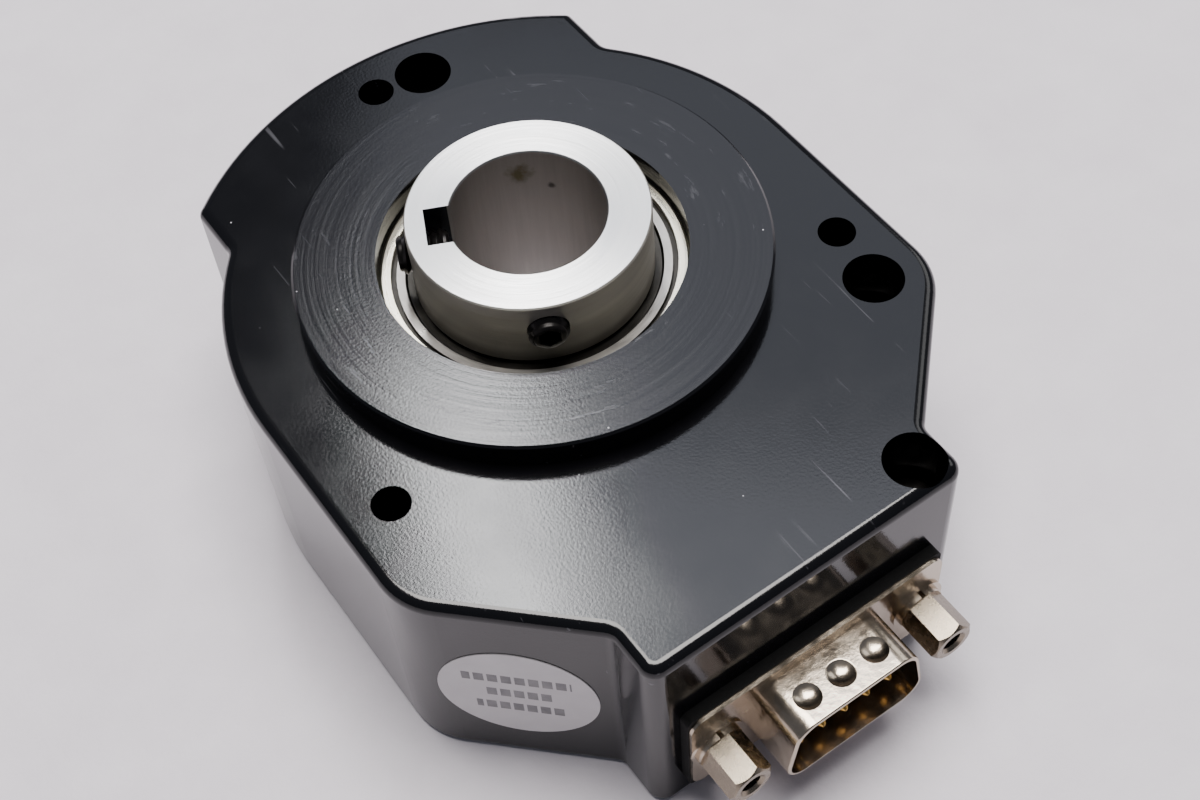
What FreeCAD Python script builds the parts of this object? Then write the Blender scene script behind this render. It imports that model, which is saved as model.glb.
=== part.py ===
"""A hollow-shaft rotary encoder with a nine-pin D connector, sizes in millimetres.

The origin is on the shaft's axis, level with the top of the round boss.  +Z points
out of the front along the shaft, and the connector faces -Y.
"""
import FreeCAD, Part
import math
import os
from FreeCAD import Vector

# Case outline, seen from the front
case_half_width = 32.5
lobe_radius = 37.3
lobe_half_width = 24.2
slant_distance = 40.8
nose_half_width = 18.5
nose_reach = 45.2
shoulder_round = 8.0
lobe_corner_round = 0.9
lobe_root_round = 1.8
nose_root_round = 1.5
nose_corner_round = 1.8

# Case heights
boss_top = 0.0
front_face = -3.0
joint_height = -17.4
rear_face = -31.0
edge_round = 1.2
rear_edge_round = 0.8
wall = 2.6
front_wall = 3.5
rear_wall = 2.6
boss_radius = 24.6

# Screws that hold the case together, from the front
case_screw_places = [(5.7, 30.55), (26.1, -22.6), (15.0, -41.7)]
counterbore_radius = 3.16
case_screw_head_top = -9.9
case_screw_head_radius = 2.75
case_screw_head_height = 3.0
case_screw_radius = 1.5
case_screw_length = 12.0
case_screw_socket = 2.5
case_screw_clearance = 0.2
case_post_radius = 4.4

# Holes for mounting the encoder on a machine
mounting_circle_radius = 31.26
mounting_hole_radius = 1.98
mounting_hole_depth = 10.0
mounting_hole_angles = [90, -30, -150]
mounting_post_radius = 4.2

# Hollow shaft, for a 5/8 inch machine shaft with a 3/16 inch key
bore_radius = 7.9375
collar_radius = 12.4
collar_top = 5.4
journal_radius = 10.0
shaft_end = -30.4
keyway_width = 4.76
keyway_reach = 10.26
keyway_floor = -2.2
key_angle = 154.0
side_angle = -116.0
set_screw_radius = 2.08
set_screw_hole_radius = 2.13
set_screw_length = 5.3
set_screw_height = 1.9
set_screw_outer_end = 13.45
set_screw_socket = 2.0
clip_thickness = 1.0
clip_groove_depth = 0.6
shaft_hole_radius = 12.7

# Two ball bearings, 20 x 32 x 7
bearing_radius = 16.0
bearing_width = 7.0
front_bearing_top = -2.7
rear_bearing_top = -21.2
ball_pitch_radius = 13.0
ball_radius = 1.75
ball_count = 14
groove_radius = 1.85
race_radius = 11.6
shield_bore = 11.85
shield_band_inner = 13.35
shield_band_outer = 14.25
shield_band_depth = 0.25
shield_web_depth = 0.6
shield_sheet = 0.3
shield_seat_radius = 14.8
shield_seat_depth = 1.05
bearing_lip = 1.2
spring_room = 1.0
hub_radius = 19.0

# Nine-pin D connector
connector_height = -20.5
opening_half_width = 10.0
opening_half_height = 5.5
gasket_thickness = 1.2
gasket_half_width = 15.5
gasket_below = 7.0
gasket_above = 6.6
flange_thickness = 0.45
flange_width = 30.81
flange_height = 12.55
d_width = 17.7
d_height = 9.1
d_depth = 5.9
d_slope = 10.0
d_sheet = 0.38
dimple_gap = 4.1
dimple_mouth = 1.45
dimple_depth = 0.45
dimple_edge = 0.25
insulator_back = -39.8
pin_pitch = 2.77
pin_row_gap = 2.84
pin_radius = 0.5
pin_tail_radius = 0.35
pin_tip_inset = 1.5
jack_spacing = 24.99
jack_across_flats = 4.4
jack_turn = 13.0
jack_length = 4.75
jack_thread_radius = 1.42
jack_thread_reach = 4.4
jack_hole_radius = 1.55
flat_washer_radius = 3.1
flat_washer_thickness = 0.3
lock_washer_radius = 2.6
lock_washer_thickness = 0.6
corner_block_back = -38.6

# Optics and electronics
disc_radius = 24.6
disc_bore = 12.0
disc_flange_radius = 14.2
disc_top = -12.4
disc_bottom = -13.2
board_top = -16.2
board_bottom = -17.8
board_screw_radius = 1.0
board_post_radius = 2.6
board_screw_places = [(25.0 * math.cos(math.radians(a)), 25.0 * math.sin(math.radians(a)))
                      for a in (150, 25, 235)]
sensor_reach = 22.0
sensor_height = 1.4
mask_thickness = 0.5
lamp_radius = 1.6
lead_radius = 0.3
lead_places = [(-3.0, 25.9), (3.0, 25.9)]

seal_diameter = 16.0
seal_thickness = 0.1

flange_back = -nose_reach - gasket_thickness
flange_front = flange_back - flange_thickness
front_wall_back = front_face - front_wall
rear_wall_front = rear_face + rear_wall
up = Vector(0, 0, 1)


# ---------------------------------------------------------------- plain solids

def cylinder(radius, low, high, x=0.0, y=0.0):
    """A round bar along Z."""
    return Part.makeCylinder(radius, high - low, Vector(x, y, low))


def ring(outer, inner, low, high):
    """A plain ring about the shaft's axis."""
    return cylinder(outer, low, high).cut(cylinder(inner, low - 1, high + 1))


def rod_to_back(radius, front, back, x, z):
    """A round bar along Y, from its front end to its back end."""
    return Part.makeCylinder(radius, back - front, Vector(x, front, z), Vector(0, 1, 0))


def block(x_range, y_range, z_range):
    """A box between pairs of coordinates."""
    corner = Vector(x_range[0], y_range[0], z_range[0])
    size = [pair[1] - pair[0] for pair in (x_range, y_range, z_range)]
    return Part.makeBox(size[0], size[1], size[2], corner)


def turned(profile):
    """A turned piece: a closed profile of (radius, height) points spun about Z."""
    points = [Vector(radius, 0, height) for radius, height in profile]
    return Part.Face(Part.makePolygon(points + points[:1])).revolve(Vector(0, 0, 0), up, 360)


def chamfered_ring(outer, inner, low, high, chamfer):
    """A ring with its four edges broken."""
    return turned([(inner + chamfer, low), (outer - chamfer, low), (outer, low + chamfer),
                   (outer, high - chamfer), (outer - chamfer, high), (inner + chamfer, high),
                   (inner, high - chamfer), (inner, low + chamfer)])


def hexagon(across_flats, start, direction, length, turn=0):
    """A hexagonal bar from a start point along a direction, turned about that direction."""
    radius = across_flats / math.sqrt(3)
    angles = [math.radians(60 * i + turn) for i in range(6)]
    corners = [Vector(radius * math.cos(angle), radius * math.sin(angle), 0) for angle in angles]
    bar = Part.Face(Part.makePolygon(corners + corners[:1])).extrude(Vector(0, 0, length))
    bar.Placement = FreeCAD.Placement(start, FreeCAD.Rotation(up, direction))
    return bar


def joined(solids):
    """One solid from several that touch or overlap."""
    return solids[0].multiFuse(solids[1:]).removeSplitter()


def save(name, shape):
    """Writes one piece, or a group of like pieces, to its own file."""
    shape.exportStep("parts/" + name + ".step")
    print(name, len(shape.Solids), round(shape.Volume, 2), shape.isValid())


# ------------------------------------------------------------------- the case

def on_corner(edge, x, y):
    """True for an upright edge that stands at +-x, y."""
    ends = [vertex.Point for vertex in edge.Vertexes]
    if len(ends) < 2 or abs(ends[0].z - ends[1].z) < 0.1:
        return False
    return all(abs(abs(end.x) - x) < 0.01 and abs(end.y - y) < 0.01 for end in ends)


def case_block(inset, low, high):
    """The case's outline as a solid, drawn in on all sides by inset."""
    half = case_half_width - inset
    lobe_half = lobe_half_width - inset
    nose_half = nose_half_width - inset
    nose_y = inset - nose_reach
    slant = (slant_distance - inset) * math.sqrt(2)
    lobe_r = lobe_radius - inset
    lobe_y = math.sqrt(lobe_r ** 2 - lobe_half ** 2)
    root_y = math.sqrt(half ** 2 - lobe_half ** 2)
    side = [(half, 0), (half, half - slant), (nose_half, nose_half - slant), (nose_half, nose_y)]
    outline = side + [(-x, y) for x, y in reversed(side)]
    points = [Vector(x, y, low) for x, y in outline]
    skirt = Part.Face(Part.makePolygon(points + points[:1])).extrude(Vector(0, 0, high - low))
    lobe = cylinder(lobe_r, low, high).common(block((-lobe_half, lobe_half), (0, 50), (low, high)))
    solid = joined([cylinder(half, low, high), skirt, lobe])
    corners = [(half, half - slant, shoulder_round - inset),
               (nose_half, nose_half - slant, nose_root_round + inset),
               (nose_half, nose_y, max(nose_corner_round - inset, 0.4)),
               (lobe_half, lobe_y, max(lobe_corner_round - inset, 0.4)),
               (lobe_half, root_y, lobe_root_round + inset)]
    for x, y, radius in corners:
        edges = [edge for edge in solid.Edges if on_corner(edge, x, y)]
        solid = solid.makeFillet(radius, edges)
    return solid


def rounded_rim(solid, height, radius):
    """The solid with the edges that lie at one height rounded."""
    edges = [edge for edge in solid.Edges
             if abs(edge.BoundBox.ZMin - height) < 0.001 and abs(edge.BoundBox.ZMax - height) < 0.001]
    return solid.makeFillet(radius, edges)


def mounting_hole_places():
    """The three hole centres on the mounting circle."""
    return [(mounting_circle_radius * math.cos(math.radians(angle)),
             mounting_circle_radius * math.sin(math.radians(angle))) for angle in mounting_hole_angles]


def connector_opening(low, high):
    """The window in the nose wall for the back of the connector, between two heights."""
    z_low = max(low, connector_height - opening_half_height)
    z_high = min(high, connector_height + opening_half_height)
    return block((-opening_half_width, opening_half_width), (-nose_reach - 2, wall - nose_reach + 1),
                 (z_low, z_high))


def front_housing():
    """The front half of the case, with the boss, the bearing seat and its screw posts."""
    seat_bottom = front_bearing_top - bearing_width
    shell = rounded_rim(case_block(0, joint_height, front_face), front_face, edge_round)
    shell = shell.cut(case_block(wall, joint_height - 1, front_wall_back))
    boss = cylinder(boss_radius, front_face - 1, boss_top)
    boss = boss.makeChamfer(0.25, [edge for edge in boss.Edges if edge.BoundBox.ZMin > boss_top - 0.01])
    posts = [cylinder(case_post_radius, joint_height, front_wall_back + 1, x, y)
             for x, y in case_screw_places]
    stubs = [cylinder(mounting_post_radius, front_face - mounting_hole_depth - 1, front_wall_back + 1, x, y)
             for x, y in mounting_hole_places()]
    room = case_block(0.5, joint_height, front_wall_back + 1)
    posts_inside = [post.common(room) for post in posts + stubs]
    hub = cylinder(hub_radius, seat_bottom - bearing_lip, front_wall_back + 1)
    solid = joined([shell, boss, hub] + posts_inside)
    cuts = [cylinder(bearing_radius, seat_bottom, boss_top + 1),
            cylinder(bearing_radius - 1.6, seat_bottom - bearing_lip - 1, seat_bottom + 1),
            connector_opening(joint_height - 1, front_face)]
    seat = case_screw_head_top - case_screw_head_height
    for x, y in case_screw_places:
        cuts.append(cylinder(counterbore_radius, seat, boss_top, x, y))
        cuts.append(cylinder(case_screw_radius + case_screw_clearance, joint_height - 1, seat + 1, x, y))
    for x, y in mounting_hole_places():
        cuts.append(cylinder(mounting_hole_radius, front_face - mounting_hole_depth, boss_top, x, y))
    return solid.cut(cuts)


def housing_gasket():
    """The case seal, round the joint from one side of the connector to the other."""
    low = joint_height - 0.7
    band = case_block(0.9, low, joint_height).cut(case_block(1.7, low - 1, joint_height + 1))
    gap = opening_half_width + 0.8
    return band.cut(block((-gap, gap), (-nose_reach - 1, -nose_reach + wall), (low - 1, joint_height + 1)))


def rear_cover():
    """The rear half of the case, with the rear bearing seat and the connector's corner blocks."""
    hub_top = rear_bearing_top + 0.7
    spring_seat = rear_bearing_top - bearing_width - spring_room
    shell = rounded_rim(case_block(0, rear_face, joint_height), rear_face, rear_edge_round)
    shell = shell.cut(case_block(wall, rear_wall_front, joint_height + 1))
    room = case_block(0.5, rear_wall_front - 1, joint_height)
    posts = [cylinder(case_post_radius, rear_wall_front - 1, joint_height, x, y).common(room)
             for x, y in case_screw_places]
    board_posts = [cylinder(board_post_radius, rear_wall_front - 1, board_bottom, x, y)
                   for x, y in board_screw_places]
    corner_blocks = [block(x_range, (-nose_reach, corner_block_back), (rear_wall_front - 1, joint_height))
                     for x_range in ((opening_half_width, nose_half_width),
                                     (-nose_half_width, -opening_half_width))]
    corner_blocks = [corner.common(room) for corner in corner_blocks]
    hub = cylinder(hub_radius, rear_wall_front - 1, hub_top)
    solid = joined([shell, hub] + posts + board_posts + corner_blocks)
    cuts = [cylinder(bearing_radius, spring_seat, hub_top + 1),
            cylinder(shaft_hole_radius, rear_face - 1, hub_top),
            connector_opening(rear_face, joint_height + 1),
            housing_gasket()]
    screw_tip = case_screw_head_top - case_screw_head_height - case_screw_length
    for x, y in case_screw_places:
        cuts.append(cylinder(case_screw_radius, screw_tip - 1, joint_height + 1, x, y))
    for x, y in board_screw_places:
        cuts.append(cylinder(board_screw_radius, board_bottom - 6, board_bottom + 1, x, y))
    jack_tip = jack_seat() + jack_thread_reach
    for x in (-jack_spacing / 2, jack_spacing / 2):
        cuts.append(rod_to_back(jack_thread_radius, -nose_reach - 1, jack_tip, x, connector_height))
    return solid.cut(cuts)


def case_screws():
    """Three socket cap screws, put in from the front."""
    screws = []
    seat = case_screw_head_top - case_screw_head_height
    for x, y in case_screw_places:
        head = cylinder(case_screw_head_radius, seat, case_screw_head_top, x, y)
        head = head.makeChamfer(0.25, [edge for edge in head.Edges if edge.BoundBox.ZMin > seat + 1])
        shank = cylinder(case_screw_radius, seat - case_screw_length, seat + 1, x, y)
        socket = hexagon(case_screw_socket, Vector(x, y, case_screw_head_top - 1.5), up, 2)
        screws.append(head.fuse(shank).cut(socket))
    return Part.makeCompound(screws)


def seal_label():
    """A round paper seal stuck across the joint on the slanted wall."""
    outward = Vector(-1, -1, 0).normalize()
    along = Vector(1, -1, 0).normalize()
    centre = outward * slant_distance + along * 4.9 + up * -18.0
    return Part.makeCylinder(seal_diameter / 2, seal_thickness, centre, outward)


# ------------------------------------------------------------------ the shaft

def spoke(angle):
    """The unit vector across the shaft at an angle from +X."""
    return Vector(math.cos(math.radians(angle)), math.sin(math.radians(angle)), 0)


def clip_top():
    """The height of the front of the spring clip and its groove."""
    return rear_bearing_top - bearing_width - 0.1


def hollow_shaft():
    """The through-bored shaft, with its clamping collar, keyway and two tapped holes."""
    edge = 0.15
    groove_bottom = clip_top() - clip_thickness
    groove_radius_in = journal_radius - clip_groove_depth
    body = turned([(bore_radius, shaft_end + edge), (bore_radius + edge, shaft_end),
                   (journal_radius - edge, shaft_end), (journal_radius, shaft_end + edge),
                   (journal_radius, groove_bottom), (groove_radius_in, groove_bottom),
                   (groove_radius_in, clip_top()), (journal_radius, clip_top()),
                   (journal_radius, front_bearing_top), (collar_radius, front_bearing_top),
                   (collar_radius, collar_top - edge), (collar_radius - edge, collar_top),
                   (bore_radius + edge, collar_top), (bore_radius, collar_top - edge)])
    keyway = block((0, keyway_reach), (-keyway_width / 2, keyway_width / 2), (keyway_floor, collar_top + 1))
    keyway.rotate(Vector(0, 0, 0), up, key_angle)
    cuts = [keyway]
    for angle in (key_angle, side_angle):
        start = spoke(angle) * 5 + up * set_screw_height
        cuts.append(Part.makeCylinder(set_screw_hole_radius, 10, start, spoke(angle)))
    return body.cut(cuts)


def set_screw(angle):
    """One headless screw in the collar, with a socket outside and a cup point inside."""
    direction = spoke(angle)
    inner_end = set_screw_outer_end - set_screw_length
    start = direction * inner_end + up * set_screw_height
    body = Part.makeCylinder(set_screw_radius, set_screw_length, start, direction)
    body = body.makeChamfer(0.3, [edge for edge in body.Edges if len(edge.Vertexes) == 1])
    socket_start = direction * (set_screw_outer_end - 1.6) + up * set_screw_height
    socket = hexagon(set_screw_socket, socket_start, direction, 2)
    cup = Part.makeCone(1.2, 0.3, 0.6, start, direction)
    return body.cut([socket, cup])


def shaft_retaining_ring():
    """The spring clip in the shaft's groove, behind the rear bearing."""
    top = clip_top()
    low = top - clip_thickness
    inner = journal_radius - clip_groove_depth
    clip = ring(11.7, inner, low, top)
    gap = block((-1.5, 1.5), (0, 13), (top - 2, top + 1))
    ears = joined([cylinder(1.5, low, top, side * 2.6, 10.9) for side in (-1, 1)] + [clip])
    ears = ears.cut(cylinder(inner, top - 2, top + 1))
    holes = [cylinder(0.6, top - 2, top + 1, side * 2.7, 11.2) for side in (-1, 1)]
    return ears.cut([gap] + holes)


def spacer_sleeve():
    """The tube that holds the disc hub and the rear bearing apart."""
    return chamfered_ring(race_radius, journal_radius, rear_bearing_top, board_top - 0.2, 0.2)


def disc_hub():
    """The hub on the shaft, with the flange that carries the code disc."""
    top = front_bearing_top - bearing_width
    bottom = board_top - 0.2
    flange_bottom = disc_bottom - 1.2
    neck = race_radius - 0.1
    return turned([(journal_radius, bottom), (race_radius, bottom), (race_radius, flange_bottom),
                   (disc_flange_radius, flange_bottom), (disc_flange_radius, disc_bottom),
                   (disc_bore, disc_bottom), (disc_bore, disc_top + 1.2), (neck, disc_top + 1.4),
                   (neck, top), (journal_radius, top)])


def code_disc():
    """The glass disc that carries the marks the lamp shines through."""
    return ring(disc_radius, disc_bore, disc_bottom, disc_top)


def disc_clamp_ring():
    """The ring that holds the code disc down on its hub."""
    return chamfered_ring(disc_flange_radius - 0.2, disc_bore, disc_top, disc_top + 0.9, 0.2)


# --------------------------------------------------------------- the bearings

def bearing_middle(top):
    """The height of a bearing's balls."""
    return top - bearing_width / 2


def ball_groove(top):
    """The ring-shaped space the balls run in, with a little room round them."""
    return Part.makeTorus(ball_pitch_radius, groove_radius, Vector(0, 0, bearing_middle(top)))


def outer_ring(top):
    """A bearing's outer ring."""
    bottom = top - bearing_width
    body = chamfered_ring(bearing_radius, 14.45, bottom, top, 0.3)
    seats = [cylinder(shield_seat_radius, top - shield_seat_depth, top + 1),
             cylinder(shield_seat_radius, bottom - 1, bottom + shield_seat_depth)]
    return body.cut([ball_groove(top)] + seats)


def inner_ring(top):
    """A bearing's inner ring."""
    return chamfered_ring(race_radius, journal_radius, top - bearing_width, top, 0.2).cut(ball_groove(top))


def ball_places(top):
    """The centres of a bearing's balls."""
    return [spoke(360.0 * i / ball_count) * ball_pitch_radius + up * bearing_middle(top)
            for i in range(ball_count)]


def balls(top):
    """All the balls of one bearing."""
    return Part.makeCompound([Part.makeSphere(ball_radius, centre) for centre in ball_places(top)])


def cage(top):
    """The ring that keeps the balls evenly apart."""
    middle = bearing_middle(top)
    band = ring(13.8, 12.2, middle - 2.3, middle + 2.3)
    pockets = []
    for centre in ball_places(top):
        outward = Vector(centre.x, centre.y, 0) / ball_pitch_radius
        pockets.append(Part.makeCylinder(ball_radius + 0.1, 4.0, centre - outward * 2.0, outward))
    return band.cut(pockets)


def shields(top):
    """The two pressed steel shields that cover the balls: a raised band round a lower web."""
    sheet = shield_sheet
    web = shield_web_depth
    band = shield_band_depth
    foot = shield_seat_depth
    outline = [(shield_bore, web), (shield_band_inner - 0.25, web), (shield_band_inner, band),
               (shield_band_outer, band), (shield_band_outer, foot - sheet),
               (shield_seat_radius, foot - sheet), (shield_seat_radius, foot),
               (shield_band_outer - sheet, foot), (shield_band_outer - sheet, band + sheet),
               (shield_band_inner + 0.15, band + sheet), (shield_band_inner - 0.1, web + sheet),
               (shield_bore, web + sheet)]
    pair = []
    for face, inward in ((top, -1), (top - bearing_width, 1)):
        pair.append(turned([(radius, face + inward * depth) for radius, depth in outline]))
    return Part.makeCompound(pair)


def preload_spring():
    """The coned spring washer that presses the rear bearing forward."""
    high = rear_bearing_top - bearing_width
    low = high - spring_room
    sheet = 0.4
    return turned([(13.4, high - sheet), (15.7, low), (15.7, low + sheet), (13.4, high)])


# -------------------------------------------------------------- the connector

def pin_places():
    """The nine contacts as (x, z, bend), the wide row of five below the row of four."""
    places = []
    for count, height, bend in ((5, -pin_row_gap / 2, -34.1), (4, pin_row_gap / 2, -36.7)):
        for i in range(count):
            x = (i - (count - 1) / 2) * pin_pitch
            places.append((x, connector_height + height, bend))
    return places


def d_section(inset, front, back):
    """A bar along Y with the connector's D outline, wide side down, drawn in by inset."""
    half_height = d_height / 2 - inset
    slope = math.tan(math.radians(d_slope))
    side_inset = inset / math.cos(math.radians(d_slope))
    low_half = d_width / 2 - side_inset - inset * slope
    high_half = d_width / 2 - d_height * slope - side_inset + inset * slope
    low = connector_height - half_height
    high = connector_height + half_height
    outline = [(-low_half, low), (low_half, low), (high_half, high), (-high_half, high)]
    points = [Vector(x, front, z) for x, z in outline]
    bar = Part.Face(Part.makePolygon(points + points[:1])).extrude(Vector(0, back - front, 0))
    edges = [edge for edge in bar.Edges if edge.BoundBox.YLength > 0.9 * abs(back - front)]
    return bar.makeFillet(2.5 - inset, edges)


def jack_holes(front, back):
    """The two bars that cut the clearance holes for the jack standoffs."""
    return [rod_to_back(jack_hole_radius, front - 1, back + 1, x, connector_height)
            for x in (-jack_spacing / 2, jack_spacing / 2)]


def flange_plate(width, height, corner, front, back):
    """An upright plate with rounded corners behind the connector's mouth."""
    plate = block((-width / 2, width / 2), (front, back),
                  (connector_height - height / 2, connector_height + height / 2))
    edges = [edge for edge in plate.Edges if edge.BoundBox.YLength > 0.9 * (back - front)]
    plate = plate.makeFillet(corner, edges)
    return plate.cut(jack_holes(front, back))


def connector_shell():
    """The pressed steel shell and flange, with three dimples pressed into its narrow side."""
    mouth = flange_front - d_depth
    tube = d_section(0, mouth, flange_front + 0.1)
    root = [edge for edge in tube.Edges if edge.BoundBox.YMax < mouth + 0.01]
    tube = tube.makeFillet(0.2, root)
    plate = flange_plate(flange_width, flange_height, 1.5, flange_front, flange_back)
    hollow = d_section(d_sheet, mouth - 1, flange_back + 1)
    dimple_y = (flange_front + mouth) / 2 - 0.2
    face = connector_height + d_height / 2
    ball = (dimple_mouth ** 2 + dimple_depth ** 2) / (2 * dimple_depth)
    centres = [Vector(x, dimple_y, face - dimple_depth + ball) for x in (-dimple_gap, 0, dimple_gap)]
    bumps = [Part.makeSphere(ball + d_sheet, centre).common(hollow) for centre in centres]
    shell = joined([joined([plate, tube]).cut(hollow)] + bumps)
    shell = shell.cut([Part.makeSphere(ball, centre) for centre in centres])
    level = [edge for edge in shell.Edges if abs(edge.BoundBox.ZMin - face) < 0.001]
    mouths = [edge for edge in level if abs(edge.BoundBox.XLength - 2 * dimple_mouth) < 0.01]
    return shell.makeFillet(dimple_edge, mouths)


def connector_insulator():
    """The black moulding that holds the contacts."""
    floor = flange_front - 0.7
    front = d_section(d_sheet, floor, flange_back)
    half_width = opening_half_width - 0.5
    half_height = opening_half_height - 0.4
    back = block((-half_width, half_width), (flange_back, insulator_back),
                 (connector_height - half_height, connector_height + half_height))
    holes = [rod_to_back(pin_radius, floor - 1, insulator_back + 1, x, z) for x, z, bend in pin_places()]
    return joined([front, back]).cut(holes)


def connector_pins():
    """Nine gold-plated contacts whose tails turn up through the circuit board."""
    pins = []
    tip = flange_front - d_depth + pin_tip_inset
    shoulder = insulator_back - 1.2
    bend_radius = 1.0
    for x, z, bend in pin_places():
        point = Part.makeCone(0.2, pin_radius, 0.4, Vector(x, tip, z), Vector(0, 1, 0))
        contact = rod_to_back(pin_radius, tip + 0.4, shoulder, x, z)
        before = Vector(x, bend - bend_radius, z)
        level = rod_to_back(pin_tail_radius, shoulder - 0.5, before.y, x, z)
        section = Part.Face(Part.Wire(Part.makeCircle(pin_tail_radius, before, Vector(0, 1, 0))))
        elbow = section.revolve(before + up * bend_radius, Vector(1, 0, 0), 90)
        upright = cylinder(pin_tail_radius, z + bend_radius, board_top + 0.5, x, bend)
        pins.append(contact.multiFuse([point, level, elbow, upright]))
    return Part.makeCompound(pins)


def connector_gasket():
    """The black rubber gasket between the flange and the nose."""
    sheet = block((-gasket_half_width, gasket_half_width), (flange_back, -nose_reach),
                  (connector_height - gasket_below, connector_height + gasket_above))
    sheet = sheet.makeFillet(0.8, [edge for edge in sheet.Edges if edge.BoundBox.YLength > 0.5])
    return sheet.cut([connector_opening(rear_face, front_face)] + jack_holes(flange_back, -nose_reach))


def jack_seat():
    """Where the underside of a jack standoff's hexagon rests, along Y."""
    return flange_front - flat_washer_thickness - lock_washer_thickness


def jack_standoffs():
    """Two hexagonal standoffs: a tapped hole outside and a threaded stud into the case."""
    pieces = []
    toward_front = Vector(0, -1, 0)
    widest = jack_across_flats / math.sqrt(3) + 0.3
    bevel = 0.75
    for x in (-jack_spacing / 2, jack_spacing / 2):
        base = Vector(x, jack_seat(), connector_height)
        body = hexagon(jack_across_flats, base, toward_front, jack_length, jack_turn)
        skirt = Part.makeCylinder(widest, jack_length - bevel, base, toward_front)
        nose = Part.makeCone(widest, jack_across_flats / 2 - 0.1, bevel,
                             base + toward_front * (jack_length - bevel), toward_front)
        body = body.common(skirt.fuse(nose))
        stud = rod_to_back(jack_thread_radius, base.y - 0.5, base.y + jack_thread_reach, x, connector_height)
        tip = base.y - jack_length
        hole = rod_to_back(1.15, tip - 1, tip + 4.2, x, connector_height)
        mouth = Part.makeCone(1.5, 1.15, 0.35, Vector(x, tip, connector_height), Vector(0, 1, 0))
        pieces.append(body.fuse(stud).cut([hole, mouth]))
    return Part.makeCompound(pieces)


def washers(outer, front, back, split):
    """A washer under each jack standoff; a lock washer is split at its upper side."""
    pieces = []
    for x in (-jack_spacing / 2, jack_spacing / 2):
        washer = rod_to_back(outer, front, back, x, connector_height)
        washer = washer.cut(rod_to_back(jack_hole_radius - 0.05, front - 1, back + 1, x, connector_height))
        if split:
            gap = block((x - 0.25, x + 0.25), (front - 1, back + 1),
                        (connector_height, connector_height + 4))
            washer = washer.cut(gap)
        pieces.append(washer)
    return Part.makeCompound(pieces)


# ------------------------------------------------------- optics and electronics

def lamp_holder():
    """The block on the front housing that holds the lamp over the code disc."""
    body = block((-4.2, 4.2), (19.3, 26.6), (disc_top + 1.0, front_wall_back))
    cuts = [cylinder(lamp_radius, disc_top, front_wall_back - 1.0, 0, sensor_reach),
            cylinder(hub_radius, disc_top, boss_top)]
    cuts += [cylinder(lead_radius, disc_top, front_wall_back - 1.0, x, y) for x, y in lead_places]
    return body.cut(cuts)


def lamp():
    """The small infrared lamp."""
    barrel = cylinder(lamp_radius, disc_top + 1.4, front_wall_back - 1.0, 0, sensor_reach)
    return barrel.makeFillet(0.6, [edge for edge in barrel.Edges if edge.BoundBox.ZMax < disc_top + 1.5])


def lamp_leads():
    """Two stiff leads from the lamp's holder down to the circuit board."""
    return Part.makeCompound([cylinder(lead_radius, board_bottom - 0.6, front_wall_back - 1.0, x, y)
                              for x, y in lead_places])


def light_sensor():
    """The light sensor chip on the board, under the disc's edge."""
    return block((-4, 4), (sensor_reach - 3, sensor_reach + 3), (board_top, board_top + sensor_height))


def mask_plate():
    """The slotted mask that lies on the light sensor."""
    low = board_top + sensor_height
    high = low + mask_thickness
    plate = block((-3.4, 3.4), (sensor_reach - 2.4, sensor_reach + 2.4), (low, high))
    slots = [block((x - 0.2, x + 0.2), (sensor_reach - 1.2, sensor_reach + 1.2), (low - 1, high + 1))
             for x in (-1.8, -0.6, 0.6, 1.8)]
    return plate.cut(slots)


def circuit_board():
    """The board that fills the case, with room for the shaft and the screw posts."""
    board = case_block(wall + 0.6, board_bottom, board_top)
    high = board_top + 1
    low = board_bottom - 1
    tongue = 9.4
    cuts = [cylinder(15.5, low, high),
            block((-40, 40), (-50, insulator_back + 0.8), (low, high)),
            block((tongue, 40), (-50, -33.0), (low, high)),
            block((-40, -tongue), (-50, -33.0), (low, high))]
    cuts += [cylinder(case_post_radius + 0.5, low, high, x, y) for x, y in case_screw_places]
    cuts += [cylinder(board_screw_radius + 0.2, low, high, x, y) for x, y in board_screw_places]
    cuts += [cylinder(pin_tail_radius, low, high, x, bend) for x, z, bend in pin_places()]
    cuts += [cylinder(lead_radius, low, high, x, y) for x, y in lead_places]
    return board.cut(cuts)


def board_screws():
    """Three small pan-head screws that hold the board on the rear cover's posts."""
    screws = []
    for x, y in board_screw_places:
        head = cylinder(2.1, board_top, board_top + 1.3, x, y)
        head = head.makeFillet(0.6, [edge for edge in head.Edges if edge.BoundBox.ZMin > board_top + 1])
        shank = cylinder(board_screw_radius, board_bottom - 5, board_top + 0.5, x, y)
        slot = block((x - 0.3, x + 0.3), (y - 3, y + 3), (board_top + 0.8, board_top + 2))
        screws.append(head.fuse(shank).cut(slot))
    return Part.makeCompound(screws)


def line_driver_chip():
    """The chip that drives the output wires."""
    return block((-25.5, -15.6), (-8.0, -4.0), (board_top, board_top + 1.6))


def board_parts():
    """Small resistors and capacitors, as plain blocks on the board."""
    places = [(18, -8), (18, -4), (18, 0), (-20, 2), (-6, -27), (0, -27), (6, -27)]
    return Part.makeCompound([block((x - 1.0, x + 1.0), (y - 0.6, y + 0.6), (board_top, board_top + 0.8))
                              for x, y in places])


# -------------------------------------------------------------- all the pieces

os.makedirs("parts", exist_ok=True)

save("front_housing", front_housing())
save("rear_cover", rear_cover())
save("housing_gasket", housing_gasket())
save("housing_screws", case_screws())
save("seal_label", seal_label())

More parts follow.
